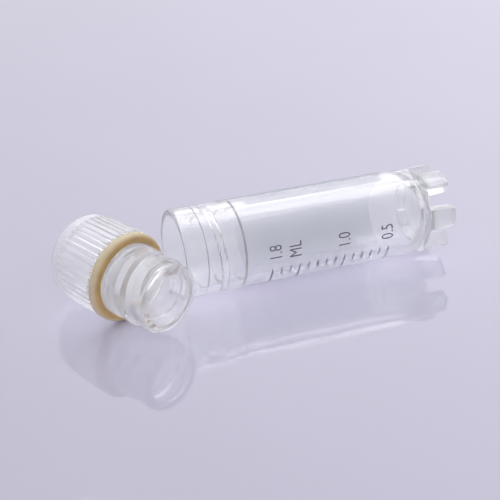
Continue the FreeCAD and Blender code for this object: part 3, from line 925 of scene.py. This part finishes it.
class CRYOVIAL_OT_stage(bpy.types.Operator):
    """Set the floor, the soft light and the camera"""

    bl_idname = "cryovial.stage"
    bl_label = "Stage"

    def execute(self, context):
        settings = context.scene.cryovial_stage
        self.make_floor(settings.floor_colour)
        self.make_world()
        self.make_lights()
        self.make_camera(settings.lens)
        context.scene.view_settings.view_transform = "Standard"
        return {"FINISHED"}

    def make_floor(self, colour):
        """Lay a large, faintly glossy floor under the part, painted darker towards the cap as shade
        and paler towards the foot as light.
        """
        start_fresh()
        bpy.ops.mesh.primitive_plane_add(size=4, location=(0, 0, PLAIN_LOW.z - 0.02 * MM))
        floor = bpy.context.object
        floor.name = "floor"
        material, nodes, links, shader = new_material("pale_floor")
        grain = add_noise(nodes, links, 30, 2)
        place = nodes.new("ShaderNodeTexCoord")
        split = nodes.new("ShaderNodeSeparateXYZ")
        fade = nodes.new("ShaderNodeMix")
        fade.data_type = "RGBA"
        # Painted light on the floor: its colour is darkened towards the cap as shade and paled
        # towards the foot as a pool of light.
        painted_shade_near_cap = add_tones(nodes, links, grain, shade(colour, 0.89), shade(colour, 0.91))
        painted_light_near_foot = add_tones(nodes, links, grain, shade(colour, 1.19), shade(colour, 1.21))
        share = add_range(nodes, links, split.outputs["X"], 0.0, 1.0, -0.06, 0.12)
        links.new(place.outputs["Object"], split.inputs["Vector"])
        links.new(share, fade.inputs["Factor"])
        links.new(painted_shade_near_cap, fade.inputs["A"])
        links.new(painted_light_near_foot, fade.inputs["B"])
        links.new(fade.outputs["Result"], shader.inputs["Base Color"])
        shader.inputs["Roughness"].default_value = 0.035
        shader.inputs["IOR"].default_value = 1.55
        floor.data.materials.append(material)

    def make_world(self):
        """Light the part softly from all round, and show a bright backdrop in its reflections."""
        world = bpy.data.worlds.new("studio")
        bpy.context.scene.world = world
        world.use_nodes = True
        nodes = world.node_tree.nodes
        links = world.node_tree.links
        nodes["Background"].inputs["Color"].default_value = (0.93, 0.93, 1.0, 1)
        nodes["Background"].inputs["Strength"].default_value = 0.52
        backdrop = self.add_backdrop(nodes, links)
        path = nodes.new("ShaderNodeLightPath")
        bent = self.add_either(nodes, links, path.outputs["Is Glossy Ray"],
                               path.outputs["Is Transmission Ray"])
        seen = self.add_either(nodes, links, path.outputs["Is Camera Ray"], bent)
        mix = nodes.new("ShaderNodeMixShader")
        links.new(seen, mix.inputs["Fac"])
        links.new(nodes["Background"].outputs["Background"], mix.inputs[1])
        links.new(backdrop, mix.inputs[2])
        links.new(mix.outputs["Shader"], nodes["World Output"].inputs["Surface"])

    def add_backdrop(self, nodes, links):
        """Grade what is seen past the floor: dark in front, bright behind and brightest high up."""
        seen = nodes.new("ShaderNodeBackground")
        direction = nodes.new("ShaderNodeTexCoord")
        split = nodes.new("ShaderNodeSeparateXYZ")
        tone = nodes.new("ShaderNodeMix")
        tone.data_type = "RGBA"
        tone.inputs["A"].default_value = (0.18, 0.18, 0.20, 1)
        tone.inputs["B"].default_value = (1.68, 1.67, 1.74, 1)
        behind = add_range(nodes, links, split.outputs["Y"], 0.0, 1.0, -0.35, 0.25)
        raised = add_range(nodes, links, split.outputs["Z"], 0.72, 1.0, 0.30, 0.48)
        links.new(direction.outputs["Generated"], split.inputs["Vector"])
        links.new(behind, tone.inputs["Factor"])
        links.new(tone.outputs["Result"], seen.inputs["Color"])
        links.new(raised, seen.inputs["Strength"])
        return seen.outputs["Background"]

    def add_either(self, nodes, links, first, second):
        """Return 1 for a ray that is of either kind."""
        either = nodes.new("ShaderNodeMath")
        either.operation = "MAXIMUM"
        links.new(first, either.inputs[0])
        links.new(second, either.inputs[1])
        return either.outputs["Value"]

    def make_lights(self):
        """Hang two soft boxes: a broad one above and behind, and a weak one in front."""
        middle = (PLAIN_LOW + PLAIN_HIGH) / 2
        boxes = (
            ("top_box", (0.314, 0.401, 0.860), 0.80, 0.46, 3.3),
            ("front_box", (-0.10, -0.50, 0.35), 0.60, 0.50, 0.7),
        )
        for name, offset, width, height, power in boxes:
            place = middle + Vector(offset)
            start_fresh()
            bpy.ops.object.light_add(type="AREA", location=place)
            light = bpy.context.object
            light.name = name
            light.data.shape = "RECTANGLE"
            light.data.size = width
            light.data.size_y = height
            light.data.energy = power
            light.rotation_euler = (middle - place).to_track_quat("-Z", "Y").to_euler()

    def make_camera(self, lens):
        """Look down at the part from the side that carries the scale."""
        target = Vector((10.10, -2.53, 0.0)) * MM
        distance = 157.5
        turn = math.radians(21.2)
        drop = math.radians(29.57)
        level = math.cos(drop)
        look = Vector((math.sin(turn) * level, math.cos(turn) * level, -math.sin(drop)))
        start_fresh()
        bpy.ops.object.camera_add(location=target - look * distance * MM)
        camera = bpy.context.object
        camera.name = "camera"
        camera.rotation_euler = look.to_track_quat("-Z", "Y").to_euler()
        camera.data.lens = lens
        camera.data.sensor_width = 36
        camera.data.clip_start = 0.01
        bpy.context.scene.camera = camera


class CRYOVIAL_PT_panel(bpy.types.Panel):
    """Buttons and settings of the cryovial"""

    bl_idname = "CRYOVIAL_PT_panel"
    bl_label = "Cryovial"
    bl_space_type = "VIEW_3D"
    bl_region_type = "UI"
    bl_category = "Cryovial"

    def draw(self, context):
        layout = self.layout
        for operator in OPERATORS:
            layout.operator(operator.bl_idname)
        for name, group in SETTINGS.items():
            box = layout.box()
            for field in group.__annotations__:
                box.prop(getattr(context.scene, name), field)


SETTINGS = {
    "cryovial_tube": TubeSettings,
    "cryovial_cap": CapSettings,
    "cryovial_print": PrintSettings,
    "cryovial_stage": StageSettings,
}
OPERATORS = (
    CRYOVIAL_OT_tube,
    CRYOVIAL_OT_cap,
    CRYOVIAL_OT_washer,
    CRYOVIAL_OT_patch,
    CRYOVIAL_OT_scale,
    CRYOVIAL_OT_stage,
)


def register():
    """Register the settings, the operators and the panel."""
    for name, group in SETTINGS.items():
        bpy.utils.register_class(group)
        setattr(bpy.types.Scene, name, bpy.props.PointerProperty(type=group))
    for operator in OPERATORS:
        bpy.utils.register_class(operator)
    bpy.utils.register_class(CRYOVIAL_PT_panel)


def unregister():
    """Remove them again."""
    bpy.utils.unregister_class(CRYOVIAL_PT_panel)
    for operator in reversed(OPERATORS):
        bpy.utils.unregister_class(operator)
    for name, group in SETTINGS.items():
        delattr(bpy.types.Scene, name)
        bpy.utils.unregister_class(group)


def main():
    """Build every piece and the stage."""
    register()
    bpy.ops.cryovial.tube()
    bpy.ops.cryovial.cap()
    bpy.ops.cryovial.washer()
    bpy.ops.cryovial.patch()
    bpy.ops.cryovial.scale()
    bpy.ops.cryovial.stage()


if __name__ == "__main__":
    main()
